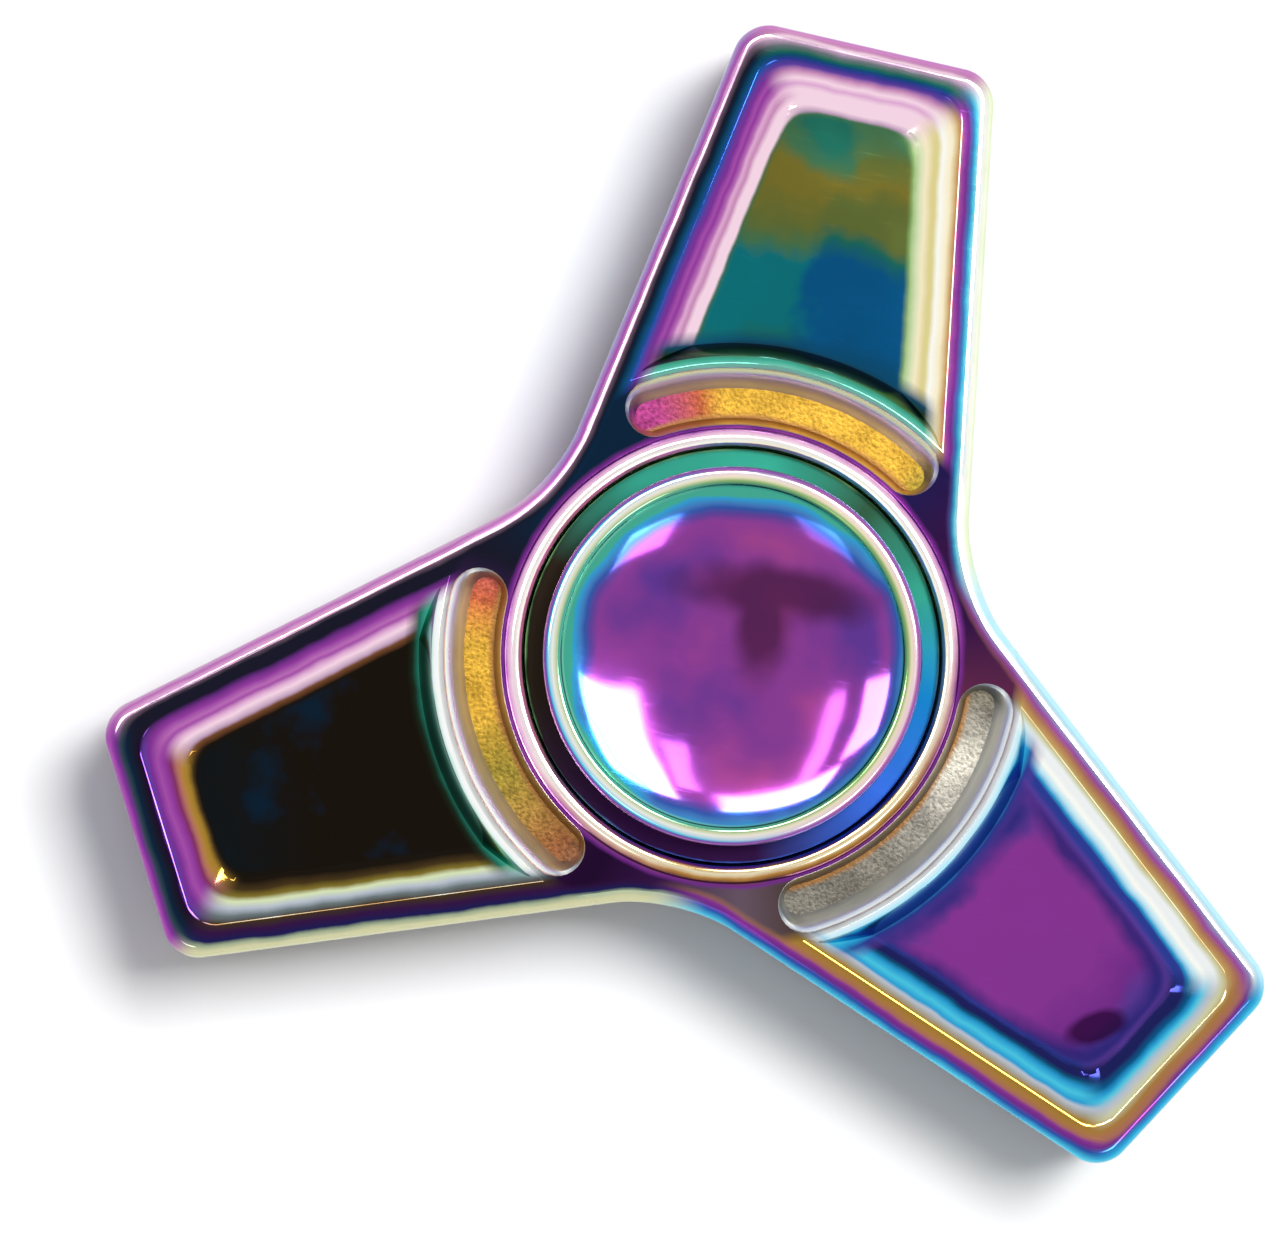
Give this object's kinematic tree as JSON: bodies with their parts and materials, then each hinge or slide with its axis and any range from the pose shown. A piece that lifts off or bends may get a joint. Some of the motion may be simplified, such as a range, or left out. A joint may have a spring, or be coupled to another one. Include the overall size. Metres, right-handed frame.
{
  "type": "fidget spinner",
  "caption": "Three-arm metal fidget spinner: a cast body that turns on a sealed ball bearing held between two dished finger caps.",
  "frame": {"origin": "centre of the ball bearing, on its axis and midway between the two finger caps", "axes": "+Z along the bearing's axis; +Y along the middle of one arm"},
  "size_m": [0.0744, 0.065, 0.013],
  "materials": {
    "rainbow_body": "polished",
    "rainbow_caps": "polished",
    "bearing_steel": "gloss",
    "ball_steel": "polished",
    "cage_brass": "satin",
    "shield_steel": "satin",
    "spring_steel": "satin",
    "shim_steel": "satin",
    "black_oxide": "satin"
  },
  "bodies": {
    "finger_hub": {"cap_top": "rainbow_caps", "cap_bottom": "rainbow_caps", "cap_stud": "black_oxide", "shim_top": "shim_steel", "shim_bottom": "shim_steel", "bearing_inner_ring": "bearing_steel"},
    "spinner": {"body": "rainbow_body", "bearing_outer_ring": "bearing_steel", "shield_top": "shield_steel", "shield_bottom": "shield_steel", "snap_ring_top": "spring_steel", "snap_ring_bottom": "spring_steel"},
    "cage": {"cage_upper": "cage_brass", "cage_lower": "cage_brass", "cage_rivets": "cage_brass"},
    "ball_1": {"ball_1": "ball_steel"},
    "ball_2": {"ball_2": "ball_steel"},
    "ball_3": {"ball_3": "ball_steel"},
    "ball_4": {"ball_4": "ball_steel"},
    "ball_5": {"ball_5": "ball_steel"},
    "ball_6": {"ball_6": "ball_steel"},
    "ball_7": {"ball_7": "ball_steel"}
  },
  "joints": [
    {"name": "body_spin", "type": "hinge", "parent": "finger_hub", "child": "spinner", "pos_m": [0, 0, 0], "axis": [0, 0, 1], "continuous": true},
    {"name": "cage_spin", "type": "hinge", "parent": "finger_hub", "child": "cage", "pos_m": [0, 0, 0], "axis": [0, 0, 1], "continuous": true},
    {"name": "ball_1_roll", "type": "hinge", "parent": "cage", "child": "ball_1", "pos_m": [0, 0.0075, 0], "axis": [0, 0, 1], "continuous": true},
    {"name": "ball_2_roll", "type": "hinge", "parent": "cage", "child": "ball_2", "pos_m": [-0.00586, 0.00468, 0], "axis": [0, 0, 1], "continuous": true},
    {"name": "ball_3_roll", "type": "hinge", "parent": "cage", "child": "ball_3", "pos_m": [-0.00731, -0.00167, 0], "axis": [0, 0, 1], "continuous": true},
    {"name": "ball_4_roll", "type": "hinge", "parent": "cage", "child": "ball_4", "pos_m": [-0.00325, -0.00676, 0], "axis": [0, 0, 1], "continuous": true},
    {"name": "ball_5_roll", "type": "hinge", "parent": "cage", "child": "ball_5", "pos_m": [0.00325, -0.00676, 0], "axis": [0, 0, 1], "continuous": true},
    {"name": "ball_6_roll", "type": "hinge", "parent": "cage", "child": "ball_6", "pos_m": [0.00731, -0.00167, 0], "axis": [0, 0, 1], "continuous": true},
    {"name": "ball_7_roll", "type": "hinge", "parent": "cage", "child": "ball_7", "pos_m": [0.00586, 0.00468, 0], "axis": [0, 0, 1], "continuous": true}
  ],
  "couplings": [
    {"joint": "cage_spin", "follows": "body_spin", "ratio": 0.6323},
    {"joint": "ball_1_roll", "follows": "body_spin", "ratio": 1.7573},
    {"joint": "ball_2_roll", "follows": "body_spin", "ratio": 1.7573},
    {"joint": "ball_3_roll", "follows": "body_spin", "ratio": 1.7573},
    {"joint": "ball_4_roll", "follows": "body_spin", "ratio": 1.7573},
    {"joint": "ball_5_roll", "follows": "body_spin", "ratio": 1.7573},
    {"joint": "ball_6_roll", "follows": "body_spin", "ratio": 1.7573},
    {"joint": "ball_7_roll", "follows": "body_spin", "ratio": 1.7573}
  ]
}
